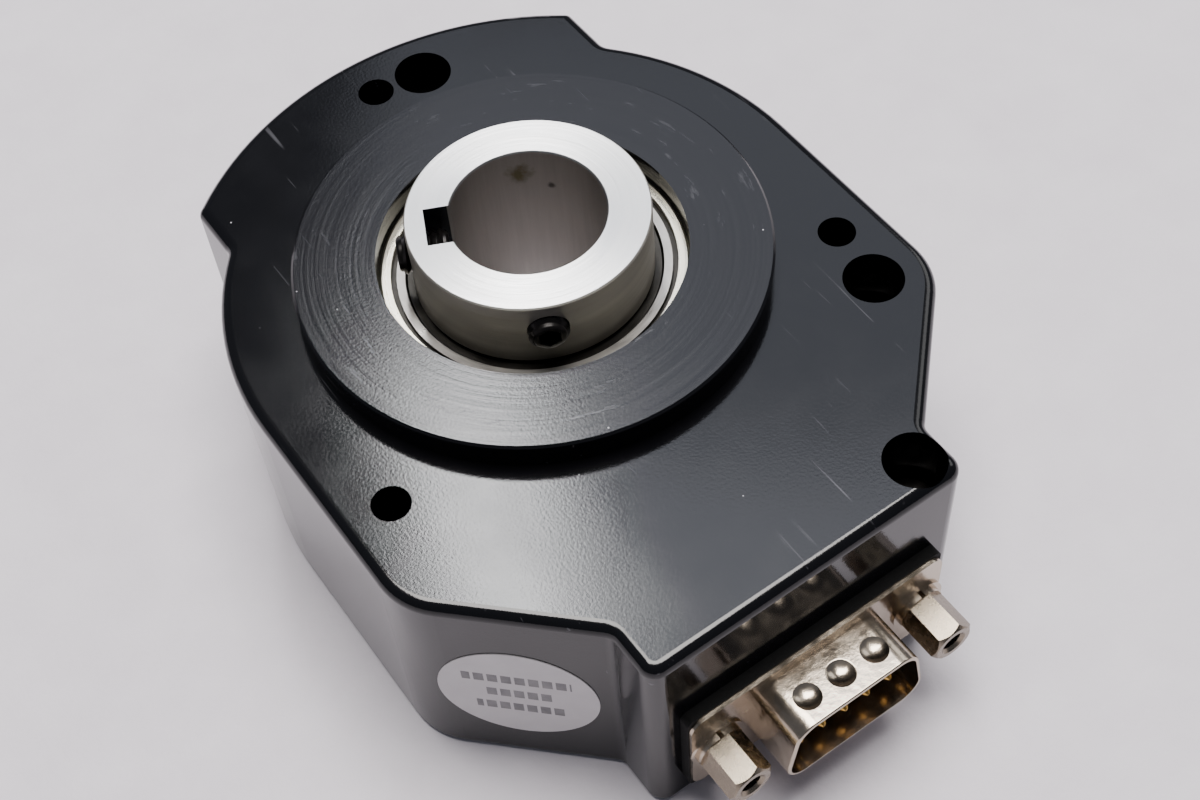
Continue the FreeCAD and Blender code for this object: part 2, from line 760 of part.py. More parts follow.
save("hollow_shaft", hollow_shaft())
save("key_set_screw", set_screw(key_angle))
save("side_set_screw", set_screw(side_angle))
save("shaft_retaining_ring", shaft_retaining_ring())
save("spacer_sleeve", spacer_sleeve())
save("disc_hub", disc_hub())
save("code_disc", code_disc())
save("disc_clamp_ring", disc_clamp_ring())

for place, bearing_top in (("front", front_bearing_top), ("rear", rear_bearing_top)):
    save(place + "_outer_ring", outer_ring(bearing_top))
    save(place + "_inner_ring", inner_ring(bearing_top))
    save(place + "_balls", balls(bearing_top))
    save(place + "_cage", cage(bearing_top))
    save(place + "_shields", shields(bearing_top))
save("preload_spring", preload_spring())

save("connector_shell", connector_shell())
save("connector_insulator", connector_insulator())
save("connector_pins", connector_pins())
save("connector_gasket", connector_gasket())
save("jack_standoffs", jack_standoffs())
washer_face = flange_front - flat_washer_thickness
save("flat_washers", washers(flat_washer_radius, washer_face, flange_front, False))
save("lock_washers", washers(lock_washer_radius, jack_seat(), washer_face, True))

save("lamp_holder", lamp_holder())
save("lamp", lamp())
save("lamp_leads", lamp_leads())
save("light_sensor", light_sensor())
save("mask_plate", mask_plate())
save("circuit_board", circuit_board())
save("board_screws", board_screws())
save("line_driver_chip", line_driver_chip())
save("board_parts", board_parts())
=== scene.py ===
import bmesh
import bpy
import math
from mathutils import Matrix, Vector


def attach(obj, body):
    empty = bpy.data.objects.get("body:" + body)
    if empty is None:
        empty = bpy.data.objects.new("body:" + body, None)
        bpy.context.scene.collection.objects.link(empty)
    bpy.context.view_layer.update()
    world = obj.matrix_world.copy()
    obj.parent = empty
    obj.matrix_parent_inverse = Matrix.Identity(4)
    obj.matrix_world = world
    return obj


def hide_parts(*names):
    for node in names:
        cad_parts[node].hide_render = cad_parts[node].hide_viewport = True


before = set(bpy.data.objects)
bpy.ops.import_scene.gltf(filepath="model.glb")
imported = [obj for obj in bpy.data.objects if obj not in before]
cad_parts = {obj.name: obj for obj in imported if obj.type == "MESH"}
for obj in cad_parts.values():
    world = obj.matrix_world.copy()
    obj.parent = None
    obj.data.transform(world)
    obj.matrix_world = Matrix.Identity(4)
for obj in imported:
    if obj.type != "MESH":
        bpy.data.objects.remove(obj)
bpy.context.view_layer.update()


# ------------------------------------------------------------------ the stage
# The encoder lies on its back on a sheet of pale grey packing board.  A narrow
# lamp hangs behind it, and wide soft panels light it from above and the right.

def linear(hex_colour):
    """An sRGB hex colour as the linear red, green, blue and alpha that a shader takes."""
    parts = [int(hex_colour[i:i + 2], 16) / 255 for i in (1, 3, 5)]
    return [p / 12.92 if p <= 0.04045 else ((p + 0.055) / 1.055) ** 2.4 for p in parts] + [1.0]


def add(tree, kind, inputs=None, **settings):
    """A new node.  inputs sets or links its sockets, by name or by number."""
    made = tree.nodes.new(kind)
    for name, value in settings.items():
        setattr(made, name, value)
    for key, value in (inputs or {}).items():
        named = [s for s in made.inputs if s.name == key and s.enabled]
        socket = named[0] if named else made.inputs[key]
        if isinstance(value, bpy.types.Node):
            value = next(s for s in value.outputs if s.enabled)
        if isinstance(value, bpy.types.NodeSocket):
            tree.links.new(value, socket)
        else:
            socket.default_value = value
    return made


def begin_material(name):
    """A material with an empty tree, and its piece's own coordinates in metres."""
    material = bpy.data.materials.new(name)
    material.use_nodes = True
    tree = material.node_tree
    tree.nodes.clear()
    return material, tree, add(tree, "ShaderNodeTexCoord").outputs["Object"]


def end_material(tree, **sockets):
    """The surface shader, with each socket set or linked, and the output."""
    shader = add(tree, "ShaderNodeBsdfPrincipled", {k.replace("_", " "): v for k, v in sockets.items()})
    add(tree, "ShaderNodeOutputMaterial", {"Surface": shader})


def per_mm(size):
    """The scale of a pattern whose features are this many millimetres across."""
    return 1000.0 / size


def packing_board():
    """Closed-cell foam board: matt and pale, faintly mottled, with a fine pebbled skin."""
    material, tree, place = begin_material("pale_packing_board")
    cloud = add(tree, "ShaderNodeTexNoise", {"Vector": place, "Scale": per_mm(7), "Detail": 5.0})
    pebble = add(tree, "ShaderNodeTexNoise", {"Vector": place, "Scale": per_mm(1.1), "Detail": 3.0})
    tint = add(tree, "ShaderNodeMix", {"Factor": cloud, "A": linear("#d6d0d8"), "B": linear("#e6e1e8")},
               data_type="RGBA")
    bump = add(tree, "ShaderNodeBump", {"Height": pebble, "Strength": 0.3, "Distance": 0.0003})
    end_material(tree, Base_Color=tint, Roughness=0.6, Specular_IOR_Level=0.3, Normal=bump)
    return material


floor_height = -0.031
floor_reach = 3.0
floor_mesh = bpy.data.meshes.new("floor")
floor_mesh.from_pydata([(x * floor_reach, y * floor_reach, floor_height)
                        for x, y in ((-1, -1), (1, -1), (1, 1), (-1, 1))], [], [(0, 1, 2, 3)])
floor_mesh.materials.append(packing_board())
floor = bpy.data.objects.new("floor", floor_mesh)
bpy.context.scene.collection.objects.link(floor)


def panel(name, azimuth, elevation, distance, width, height, radiance, colour="#ffffff"):
    """A soft light that faces the encoder.  Azimuth 0 stands on +Y and 90 on +X."""
    lamp = bpy.data.lights.new(name, "AREA")
    lamp.shape = "RECTANGLE"
    lamp.size = width
    lamp.size_y = height
    lamp.energy = radiance * math.pi * width * height
    lamp.color = linear(colour)[:3]
    a = math.radians(azimuth)
    e = math.radians(elevation)
    towards = Vector((math.sin(a) * math.cos(e), math.cos(a) * math.cos(e), math.sin(e)))
    holder = bpy.data.objects.new(name, lamp)
    facing = towards.to_track_quat("Z", "Y").to_matrix().to_4x4()
    holder.matrix_world = Matrix.Translation(towards * distance) @ facing
    bpy.context.scene.collection.objects.link(holder)


panel("narrow_lamp", 23.0, 60.0, 1.0, 0.085, 0.26, 24.0)
panel("lower_ceiling", 38.0, 49.0, 1.2, 0.50, 0.34, 1.3, "#eaf0ff")
panel("upper_ceiling", 40.0, 63.0, 1.2, 0.46, 0.24, 2.8, "#eef2ff")
panel("overhead", 33.0, 82.0, 1.2, 0.90, 0.56, 16.5, "#fffbf8")
panel("side_window", 80.0, 36.0, 1.5, 0.9, 0.5, 1.8)

room = bpy.data.worlds.new("room")
room.use_nodes = True
room.node_tree.nodes["Background"].inputs["Color"].default_value = linear("#cdd2e0")
room.node_tree.nodes["Background"].inputs["Strength"].default_value = 0.25
bpy.context.scene.world = room

camera_data = bpy.data.cameras.new("camera")
camera_data.lens = 56.444
camera_data.sensor_width = 36.0
camera_data.clip_start = 0.005
camera_data.clip_end = 20.0
camera = bpy.data.objects.new("camera", camera_data)
camera_place = (-0.058994, -0.108480, 0.146296)
to_right = Vector((0.813428, -0.579121, -0.054349))
to_top = Vector((0.499616, 0.647783, 0.575118))
to_back = Vector((-0.297857, -0.494971, 0.816263))
aim = Matrix((to_right, to_top, to_back)).transposed().to_4x4()
camera.matrix_world = Matrix.Translation(camera_place) @ aim
bpy.context.scene.collection.objects.link(camera)
bpy.context.scene.camera = camera


# ---------------------------------------------------------- the front housing
# The black case half that carries everything: a thick moulding with a raised
# round boss, whose top is turned true.  The face is satin, the walls polished.

def dress(material, *names):
    """Gives CAD nodes their material."""
    for name in names:
        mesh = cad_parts[name].data
        mesh.materials.clear()
        mesh.materials.append(material)


def about_axis(tree, place):
    """Radius from the shaft's axis, angle about it, and height, as three sockets."""
    x, y, z = add(tree, "ShaderNodeSeparateXYZ", {0: place}).outputs
    square = add(tree, "ShaderNodeMath", {0: x, 1: x}, operation="MULTIPLY")
    both = add(tree, "ShaderNodeMath", {0: y, 1: y, 2: square}, operation="MULTIPLY_ADD")
    radius = add(tree, "ShaderNodeMath", {0: both}, operation="SQRT")
    angle = add(tree, "ShaderNodeMath", {0: y, 1: x}, operation="ARCTAN2")
    return radius.outputs[0], angle.outputs[0], z


def ring_coordinates(tree, radius, angle, z, along=0.0004):
    """Coordinates that run quickly across turning marks and slowly along them."""
    slow = add(tree, "ShaderNodeMath", {0: angle, 1: along}, operation="MULTIPLY")
    return add(tree, "ShaderNodeCombineXYZ", {"X": radius, "Y": z, "Z": slow})


def case_plastic():
    """Black glass-filled polyester, moulded.  The face is satin and keeps cloudy finger
    smudges, hair scratches and dust; the walls come glossy from the polished mould; the
    boss top is turned, so it is greyer and carries fine rings and rubbed arcs."""
    material, tree, place = begin_material("moulded_black_polyester")
    radius, angle, z = about_axis(tree, place)
    normal = add(tree, "ShaderNodeNewGeometry").outputs["Normal"]
    facing = add(tree, "ShaderNodeSeparateXYZ", {0: normal}).outputs["Z"]
    face = add(tree, "ShaderNodeMapRange", {"Value": facing, "From Min": 0.7, "From Max": 0.98})
    on_boss = add(tree, "ShaderNodeMapRange", {"Value": z, "From Min": -0.0012, "From Max": -0.0004})
    boss = add(tree, "ShaderNodeMath", {0: face, 1: on_boss}, operation="MULTIPLY")

    smudge = add(tree, "ShaderNodeTexNoise", {"Vector": place, "Scale": per_mm(14), "Detail": 6.0,
                                              "Roughness": 0.55, "Distortion": 0.2})
    grain = add(tree, "ShaderNodeTexNoise", {"Vector": place, "Scale": per_mm(0.3), "Detail": 2.0})
    rings = add(tree, "ShaderNodeTexNoise", {"Vector": ring_coordinates(tree, radius, angle, z),
                                             "Scale": per_mm(0.35), "Detail": 3.0})

    satin = add(tree, "ShaderNodeMapRange", {"Value": smudge, "From Min": 0.35, "From Max": 0.68,
                                             "To Min": 0.10, "To Max": 0.16})
    gloss = add(tree, "ShaderNodeMapRange", {"Value": smudge, "From Min": 0.3, "From Max": 0.7,
                                             "To Min": 0.07, "To Max": 0.13})
    turned = add(tree, "ShaderNodeMapRange", {"Value": rings, "From Min": 0.3, "From Max": 0.7,
                                              "To Min": 0.12, "To Max": 0.18})
    moulded = add(tree, "ShaderNodeMix", {"Factor": face, "A": gloss, "B": satin})
    polish = add(tree, "ShaderNodeMix", {"Factor": boss, "A": moulded, "B": turned})

    # hair scratches: long thin streaks at two slants, only where the case is handled
    patches = add(tree, "ShaderNodeTexNoise", {"Vector": place, "Scale": per_mm(9), "Detail": 2.0})
    handled = add(tree, "ShaderNodeMapRange", {"Value": patches, "From Min": 0.52, "From Max": 0.62})
    scratches = []
    for slant, width in ((35.0, 0.10), (-62.0, 0.14)):
        lie = add(tree, "ShaderNodeMapping", {"Vector": place, "Rotation": (0, 0, math.radians(slant)),
                                              "Scale": (1.0, 0.03, 1.0)})
        streak = add(tree, "ShaderNodeTexNoise", {"Vector": lie, "Scale": per_mm(width * 6),
                                                  "Detail": 2.0})
        thin = add(tree, "ShaderNodeMapRange", {"Value": streak, "From Min": 0.70, "From Max": 0.76})
        scratches.append(thin)
    both = add(tree, "ShaderNodeMath", {0: scratches[0], 1: scratches[1]}, operation="MAXIMUM")
    scratch = add(tree, "ShaderNodeMath", {0: both, 1: handled}, operation="MULTIPLY")

    # rubbed arcs on the boss, from the flange the encoder was bolted to
    arc_place = ring_coordinates(tree, radius, angle, z, 0.004)
    arc_noise = add(tree, "ShaderNodeTexNoise", {"Vector": arc_place, "Scale": per_mm(1.6), "Detail": 5.0,
                                                 "Roughness": 0.7})
    arc = add(tree, "ShaderNodeMapRange", {"Value": arc_noise, "From Min": 0.60, "From Max": 0.74})
    rubbed = add(tree, "ShaderNodeMath", {0: arc, 1: boss}, operation="MULTIPLY")

    # single grains of dust
    specks = add(tree, "ShaderNodeTexVoronoi", {"Vector": place, "Scale": per_mm(2.2), "Randomness": 1.0})
    dust = add(tree, "ShaderNodeMapRange", {"Value": specks, "From Min": 0.045, "From Max": 0.03})
    chosen = add(tree, "ShaderNodeSeparateColor", {0: specks.outputs["Color"]})
    few = add(tree, "ShaderNodeMath", {0: chosen.outputs[0], 1: 0.86}, operation="GREATER_THAN")
    dust_here = add(tree, "ShaderNodeMath", {0: dust, 1: few}, operation="MULTIPLY")
    dust_up = add(tree, "ShaderNodeMath", {0: dust_here, 1: face}, operation="MULTIPLY")

    base = add(tree, "ShaderNodeMix", {"Factor": smudge, "A": linear("#050507"), "B": linear("#08080b")},
               data_type="RGBA")
    greyer = add(tree, "ShaderNodeMath", {0: boss, 1: 0.8}, operation="MULTIPLY")
    worn = add(tree, "ShaderNodeMix", {"Factor": greyer, "A": base, "B": linear("#141418")},
               data_type="RGBA")
    pale_arc = add(tree, "ShaderNodeMath", {0: rubbed, 1: 0.35}, operation="MULTIPLY")
    arced = add(tree, "ShaderNodeMix", {"Factor": pale_arc, "A": worn, "B": linear("#6c6c72")},
                data_type="RGBA")
    pale_scratch = add(tree, "ShaderNodeMath", {0: scratch, 1: 0.28}, operation="MULTIPLY")
    scratched = add(tree, "ShaderNodeMix", {"Factor": pale_scratch, "A": arced, "B": linear("#8d8d94")},
                    data_type="RGBA")
    tint = add(tree, "ShaderNodeMix", {"Factor": dust_up, "A": scratched, "B": linear("#b9b9bd")},
               data_type="RGBA")
    rougher = add(tree, "ShaderNodeMath", {0: rubbed, 1: 0.12, 2: polish}, operation="MULTIPLY_ADD")

    ring_height = add(tree, "ShaderNodeMath", {0: rings, 1: boss}, operation="MULTIPLY")
    fine = add(tree, "ShaderNodeBump", {"Height": grain, "Strength": 0.06, "Distance": 0.0001})
    bump = add(tree, "ShaderNodeBump", {"Height": ring_height, "Strength": 0.10, "Distance": 0.0001,
                                        "Normal": fine})
    shine = add(tree, "ShaderNodeMapRange", {"Value": face, "To Min": 0.38, "To Max": 0.5})
    end_material(tree, Base_Color=tint, Roughness=rougher, IOR=1.5, Specular_IOR_Level=shine, Normal=bump)
    return material


black_case = case_plastic()
dress(black_case, "front_housing", "rear_cover")


# ----------------------------------------------------------- the ball bearings
# Two sealed bearings carry the shaft: ground steel rings, polished balls in a
# pressed cage, and thin pressed shields.  The front one shows round the collar.

def ground_steel():
    """Ground bearing steel with hair-fine circular grinding lines, painted a bright cream white as a
    painted warm reflection.
    """
    material, tree, place = begin_material("ground_bearing_steel")
    radius, angle, z = about_axis(tree, place)
    lines = add(tree, "ShaderNodeTexNoise", {"Vector": ring_coordinates(tree, radius, angle, z),
                                             "Scale": per_mm(0.25), "Detail": 2.0})
    film = add(tree, "ShaderNodeTexNoise", {"Vector": place, "Scale": per_mm(5), "Detail": 4.0})
    # painted reflection: the cream white tint stands in for the warm light the rings reflect
    tint = add(tree, "ShaderNodeMix", {"Factor": film, "A": linear("#e2dcc6"), "B": linear("#f1ecdc")},
               data_type="RGBA")
    rough = add(tree, "ShaderNodeMapRange", {"Value": lines, "From Min": 0.3, "From Max": 0.7,
                                             "To Min": 0.2, "To Max": 0.34})
    bump = add(tree, "ShaderNodeBump", {"Height": lines, "Strength": 0.12, "Distance": 0.00005})
    end_material(tree, Base_Color=tint, Metallic=1.0, Roughness=rough, Normal=bump)
    return material


def polished_steel():
    """Polished ball steel: mirror bright, with soft running marks that dull it a little."""
    material, tree, place = begin_material("polished_ball_steel")
    wear = add(tree, "ShaderNodeTexNoise", {"Vector": place, "Scale": per_mm(1.2), "Detail": 4.0})
    tint = add(tree, "ShaderNodeMix", {"Factor": wear, "A": linear("#cfd0d0"), "B": linear("#e4e4e2")},
               data_type="RGBA")
    rough = add(tree, "ShaderNodeMapRange", {"Value": wear, "From Min": 0.35, "From Max": 0.7,
                                             "To Min": 0.04, "To Max": 0.12})
    end_material(tree, Base_Color=tint, Metallic=1.0, Roughness=rough)
    return material


def pressed_steel():
    """Cold-rolled sheet, pressed: light grey and satin, with a thin film of grease in places; painted shade
    darkens it inside and outside one ring.
    """
    material, tree, place = begin_material("pressed_sheet_steel")
    radius, angle, z = about_axis(tree, place)
    drawn = add(tree, "ShaderNodeTexNoise", {"Vector": ring_coordinates(tree, radius, angle, z, 0.002),
                                             "Scale": per_mm(0.5), "Detail": 3.0})
    grease = add(tree, "ShaderNodeTexNoise", {"Vector": place, "Scale": per_mm(2.5), "Detail": 4.0})
    # painted shade: the sheet is painted dark inside and outside one ring, for the collar's shadow and the
    # groove by the outer ring; only that ring keeps its own light grey
    unshaded_from, unshaded_to = 0.01325, 0.0142
    from_inside = add(tree, "ShaderNodeMath", {0: radius, 1: unshaded_from}, operation="GREATER_THAN")
    from_outside = add(tree, "ShaderNodeMath", {0: radius, 1: unshaded_to}, operation="LESS_THAN")
    unshaded_band = add(tree, "ShaderNodeMath", {0: from_inside, 1: from_outside}, operation="MULTIPLY")
    painted_shade_tint = add(tree, "ShaderNodeMix", {"Factor": grease, "A": linear("#262524"), "B": linear("#474541")},
               data_type="RGBA")
    own_grey_tint = add(tree, "ShaderNodeMix", {"Factor": grease, "A": linear("#8f8c88"), "B": linear("#b3b0ab")},
                data_type="RGBA")
    tint = add(tree, "ShaderNodeMix", {"Factor": unshaded_band, "A": painted_shade_tint, "B": own_grey_tint}, data_type="RGBA")
    rough = add(tree, "ShaderNodeMapRange", {"Value": drawn, "From Min": 0.3, "From Max": 0.7,
                                             "To Min": 0.26, "To Max": 0.40})
    bump = add(tree, "ShaderNodeBump", {"Height": drawn, "Strength": 0.15, "Distance": 0.0001})
    end_material(tree, Base_Color=tint, Metallic=1.0, Roughness=rough, Normal=bump)
    return material


dress(ground_steel(), "front_outer_ring", "front_inner_ring", "rear_outer_ring", "rear_inner_ring")
dress(polished_steel(), "front_balls", "rear_balls")
dress(pressed_steel(), "front_shields", "rear_shields", "front_cage", "rear_cage",
      "preload_spring", "shaft_retaining_ring")


# ------------------------------------------------------------ the hollow shaft
# One aluminium turning: the collar that grips the machine's shaft, with a reamed
# bore and a broached keyway.  The spacer, the hub and the clamp ring match it.

def turned_aluminium():
    """Bare turned aluminium.  The end face is painted nearly white, a painted highlight, with concentric
    rings that fan the light; the side is painted darker, in soft bands of painted reflection; the bore is
    greyer, streaked along its length, with a few oily stains."""
    material, tree, place = begin_material("bare_turned_aluminium")
    radius, angle, z = about_axis(tree, place)
    x, y = add(tree, "ShaderNodeSeparateXYZ", {0: place}).outputs[:2]
    normal = add(tree, "ShaderNodeNewGeometry").outputs["Normal"]
    facing = add(tree, "ShaderNodeSeparateXYZ", {0: normal}).outputs["Z"]
    end_face = add(tree, "ShaderNodeMapRange", {"Value": facing, "From Min": 0.8, "From Max": 0.95})
    not_face = add(tree, "ShaderNodeMath", {0: 1.0, 1: end_face}, operation="SUBTRACT")
    inside = add(tree, "ShaderNodeMapRange", {"Value": radius, "From Min": 0.0084, "From Max": 0.0081})
    in_bore = add(tree, "ShaderNodeMath", {0: inside, 1: not_face}, operation="MULTIPLY")

    # tool marks: rings on the outside, streaks along the bore
    rings = add(tree, "ShaderNodeTexNoise", {"Vector": ring_coordinates(tree, radius, angle, z),
                                             "Scale": per_mm(0.35), "Detail": 3.0})
    around = add(tree, "ShaderNodeMath", {0: angle, 1: 0.008}, operation="MULTIPLY")
    lengthways = add(tree, "ShaderNodeMath", {0: z, 1: 0.06}, operation="MULTIPLY")
    along = add(tree, "ShaderNodeCombineXYZ", {"X": around, "Y": lengthways})
    streaks = add(tree, "ShaderNodeTexNoise", {"Vector": along, "Scale": per_mm(0.8), "Detail": 5.0,
                                               "Roughness": 0.65})
    marks = add(tree, "ShaderNodeMix", {"Factor": in_bore, "A": rings, "B": streaks})
    reflection_bands = add(tree, "ShaderNodeTexNoise", {"Vector": ring_coordinates(tree, radius, angle, z, 0.001),
                                             "Scale": per_mm(2.2), "Detail": 2.0})

    # painted highlight and painted reflection: one aluminium in lit and shaded copies, a nearly white end
    # face over a darker side in bands
    side = add(tree, "ShaderNodeMix", {"Factor": reflection_bands, "A": linear("#7e7b74"), "B": linear("#b9b6ac")},
               data_type="RGBA")
    bright = add(tree, "ShaderNodeMix", {"Factor": rings, "A": linear("#efefee"), "B": linear("#fafaf9")},
                 data_type="RGBA")
    reamed = add(tree, "ShaderNodeMix", {"Factor": streaks, "A": linear("#aaa8a4"), "B": linear("#cbc8c4")},
                 data_type="RGBA")
    outside = add(tree, "ShaderNodeMix", {"Factor": end_face, "A": side, "B": bright}, data_type="RGBA")
    metal = add(tree, "ShaderNodeMix", {"Factor": in_bore, "A": outside, "B": reamed}, data_type="RGBA")

    # painted shade: the keyway's broached walls are painted nearly black, for the shade inside the slot
    slot_start, slot_end, slot_floor = 0.0082, 0.0108, -0.0024
    past_bore = add(tree, "ShaderNodeMath", {0: radius, 1: slot_start}, operation="GREATER_THAN")
    short_of_side = add(tree, "ShaderNodeMath", {0: radius, 1: slot_end}, operation="LESS_THAN")
    above = add(tree, "ShaderNodeMath", {0: z, 1: slot_floor}, operation="GREATER_THAN")
    slot_ring = add(tree, "ShaderNodeMath", {0: past_bore, 1: short_of_side}, operation="MULTIPLY")
    slot_walls = add(tree, "ShaderNodeMath", {0: slot_ring, 1: above}, operation="MULTIPLY")
    painted_slot_shade = add(tree, "ShaderNodeMath", {0: slot_walls, 1: not_face}, operation="MULTIPLY")
    metal = add(tree, "ShaderNodeMix", {"Factor": painted_slot_shade, "A": metal, "B": linear("#26282c")},
                data_type="RGBA")

    # oil that dried in the bore, far side near the top, and a brown fleck by the keyway
    for spot, reach, colour in (((0.0035, 0.0072, 0.0022), 0.0016, "#6a6432"),
                                ((-0.0074, 0.0020, 0.0030), 0.0007, "#5b3a2c"),
                                ((0.0060, 0.0052, 0.0005), 0.0005, "#2c2a28")):
        ragged = add(tree, "ShaderNodeTexNoise", {"Vector": place, "Scale": per_mm(0.9), "Detail": 4.0})
        away = add(tree, "ShaderNodeVectorMath", {0: place, 1: spot}, operation="DISTANCE")
        soft = add(tree, "ShaderNodeMath", {0: ragged, 1: reach * 1.4, 2: away.outputs["Value"]},
                   operation="MULTIPLY_ADD")
        stain = add(tree, "ShaderNodeMapRange", {"Value": soft, "From Min": reach * 1.7,
                                                 "From Max": reach * 0.9, "To Max": 0.75})
        inner = add(tree, "ShaderNodeMath", {0: stain, 1: in_bore}, operation="MULTIPLY")
        metal = add(tree, "ShaderNodeMix", {"Factor": inner, "A": metal, "B": linear(colour)},
                    data_type="RGBA")

    rough = add(tree, "ShaderNodeMapRange", {"Value": marks, "From Min": 0.3, "From Max": 0.7,
                                             "To Min": 0.32, "To Max": 0.44})
    # the light fans out across the tool marks: radially on the face, lengthways on the side
    radial = add(tree, "ShaderNodeCombineXYZ", {"X": x, "Y": y})
    minus_y = add(tree, "ShaderNodeMath", {0: y, 1: -1.0}, operation="MULTIPLY")
    round_it = add(tree, "ShaderNodeCombineXYZ", {"X": minus_y, "Y": x})
    on_side = add(tree, "ShaderNodeMix", {"Factor": in_bore, "A": (0.0, 0.0, 0.01), "B": round_it},
                  data_type="VECTOR")
    fan = add(tree, "ShaderNodeMix", {"Factor": end_face, "A": on_side, "B": radial}, data_type="VECTOR")
    bump = add(tree, "ShaderNodeBump", {"Height": marks, "Strength": 0.26, "Distance": 0.0001})
    end_material(tree, Base_Color=metal, Metallic=1.0, Roughness=rough, Anisotropic=0.65, Tangent=fan,
                 Normal=bump)
    return material


dress(turned_aluminium(), "hollow_shaft", "spacer_sleeve", "disc_hub", "disc_clamp_ring")


# -------------------------------------------------------------- the set screws
# Two black M4 cup-point screws in the collar: one bears on the key, one on the
# shaft.  Each is a turned blank with a hexagon socket and one raised helix.

def ringed_blank(name, rings, around=48):
    """A closed mesh through rings of (height, size, sides).  A ring with six sides is a
    hexagon of that size across its flats, and any other is a circle of that radius."""
    shape = bmesh.new()
    loops = []
    for height, size, sides in rings:
        loop = []
        for i in range(around):
            angle = 2 * math.pi * i / around
            flat = size / 2 / math.cos((angle + math.pi / 6) % (math.pi / 3) - math.pi / 6)
            reach = flat if sides == 6 else size
            loop.append(shape.verts.new((reach * math.cos(angle), reach * math.sin(angle), height)))
        loops.append(loop)
    for low, high in zip(loops, loops[1:]):
        for i in range(around):
            j = (i + 1) % around
            shape.faces.new((low[i], low[j], high[j], high[i]))
    shape.faces.new(loops[0][::-1])
    shape.faces.new(loops[-1])
    mesh = bpy.data.meshes.new(name)
    shape.to_mesh(mesh)
    shape.free()
    blank = bpy.data.objects.new(name, mesh)
    bpy.context.scene.collection.objects.link(blank)
    return blank


def begin_tree(name, numbers):
    """A geometry tree that is given a mesh, some lengths by name, and a material."""
    tree = bpy.data.node_groups.new(name, "GeometryNodeTree")
    tree.interface.new_socket("Geometry", in_out="INPUT", socket_type="NodeSocketGeometry")
    for number in numbers:
        tree.interface.new_socket(number, in_out="INPUT", socket_type="NodeSocketFloat")
    tree.interface.new_socket("Material", in_out="INPUT", socket_type="NodeSocketMaterial")
    tree.interface.new_socket("Geometry", in_out="OUTPUT", socket_type="NodeSocketGeometry")
    return tree, add(tree, "NodeGroupInput").outputs


def end_tree(tree, given, added):
    """Joins what was added to the mesh given, realizes it, and gives it its material."""
    both = add(tree, "GeometryNodeJoinGeometry")
    tree.links.new(given["Geometry"], both.inputs[0])
    tree.links.new(added.outputs[0], both.inputs[0])
    real = add(tree, "GeometryNodeRealizeInstances", {0: both})
    painted = add(tree, "GeometryNodeSetMaterial", {"Geometry": real, "Material": given["Material"]})
    add(tree, "NodeGroupOutput", {0: painted})
    return tree


def thread_tree():
    """A screw thread: a diamond section swept up a helix, its inner half sunk in the blank."""
    tree, given = begin_tree("screw_thread", ("Root radius", "Depth", "Pitch", "Start", "Length"))
    turns = add(tree, "ShaderNodeMath", {0: given["Length"], 1: given["Pitch"]}, operation="DIVIDE")
    helix = add(tree, "GeometryNodeCurveSpiral", {"Resolution": 32, "Rotations": turns,
                                                  "Start Radius": given["Root radius"],
                                                  "End Radius": given["Root radius"],
                                                  "Height": given["Length"]})
    upright = add(tree, "GeometryNodeSetCurveNormal", {0: helix}, mode="Z_UP")
    lift = add(tree, "ShaderNodeCombineXYZ", {"Z": given["Start"]})
    raised = add(tree, "GeometryNodeTransform", {"Geometry": upright, "Translation": lift})
    width = add(tree, "ShaderNodeMath", {0: given["Depth"], 1: 2.0}, operation="MULTIPLY")
    section = add(tree, "GeometryNodeCurvePrimitiveQuadrilateral",
                  {"Width": width, "Bottom Height": given["Depth"], "Top Height": given["Depth"]},
                  mode="KITE")
    ridge = add(tree, "GeometryNodeCurveToMesh", {"Curve": raised, "Profile Curve": section,
                                                  "Fill Caps": True})
    return end_tree(tree, given, ridge)


def grown(source, tree, material, **sizes):
    """Applies a geometry tree to the source, which is left as a plain mesh."""
    growth = source.modifiers.new("growth", "NODES")
    growth.node_group = tree
    for item in tree.interface.items_tree:
        if item.in_out == "INPUT" and item.name.replace(" ", "_") in sizes:
            growth[item.identifier] = sizes[item.name.replace(" ", "_")]
        if item.in_out == "INPUT" and item.name == "Material":
            growth[item.identifier] = material
    bpy.context.view_layer.update()
    seen = source.evaluated_get(bpy.context.evaluated_depsgraph_get())
    plain = bpy.data.meshes.new_from_object(seen)
    source.modifiers.clear()
    source.data = plain


def settled(name, sources, places, material, body, slot, *nodes):
    """Makes one finished piece from meshes put in their places, with its normals turned
    outwards, and has it ride its body."""
    shape = bmesh.new()
    for source, place in zip(sources, places):
        copy = source.data.copy()
        copy.transform(place)
        shape.from_mesh(copy)
        bpy.data.meshes.remove(copy)
    bmesh.ops.recalc_face_normals(shape, faces=shape.faces)
    for face in shape.faces:
        face.material_index = 0
    mesh = bpy.data.meshes.new(name)
    shape.to_mesh(mesh)
    shape.free()
    mesh.materials.append(material)
    mesh.shade_smooth()
    mesh.set_sharp_from_angle(angle=math.radians(38))
    piece = bpy.data.objects.new(name, mesh)
    bpy.context.scene.collection.objects.link(piece)
    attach(piece, body)
    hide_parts(*nodes)


def black_oxide():
    """Oiled black oxide on alloy steel: near black, with soft glints and a brown cast where
    the oil has dried."""
    material, tree, place = begin_material("oiled_black_oxide_steel")
    oil = add(tree, "ShaderNodeTexNoise", {"Vector": place, "Scale": per_mm(1.1), "Detail": 4.0})
    tint = add(tree, "ShaderNodeMix", {"Factor": oil, "A": linear("#0b0b0c"), "B": linear("#1d1a18")},
               data_type="RGBA")
    rough = add(tree, "ShaderNodeMapRange", {"Value": oil, "From Min": 0.3, "From Max": 0.7,
                                             "To Min": 0.24, "To Max": 0.42})
    end_material(tree, Base_Color=tint, Metallic=0.7, Roughness=rough)
    return material


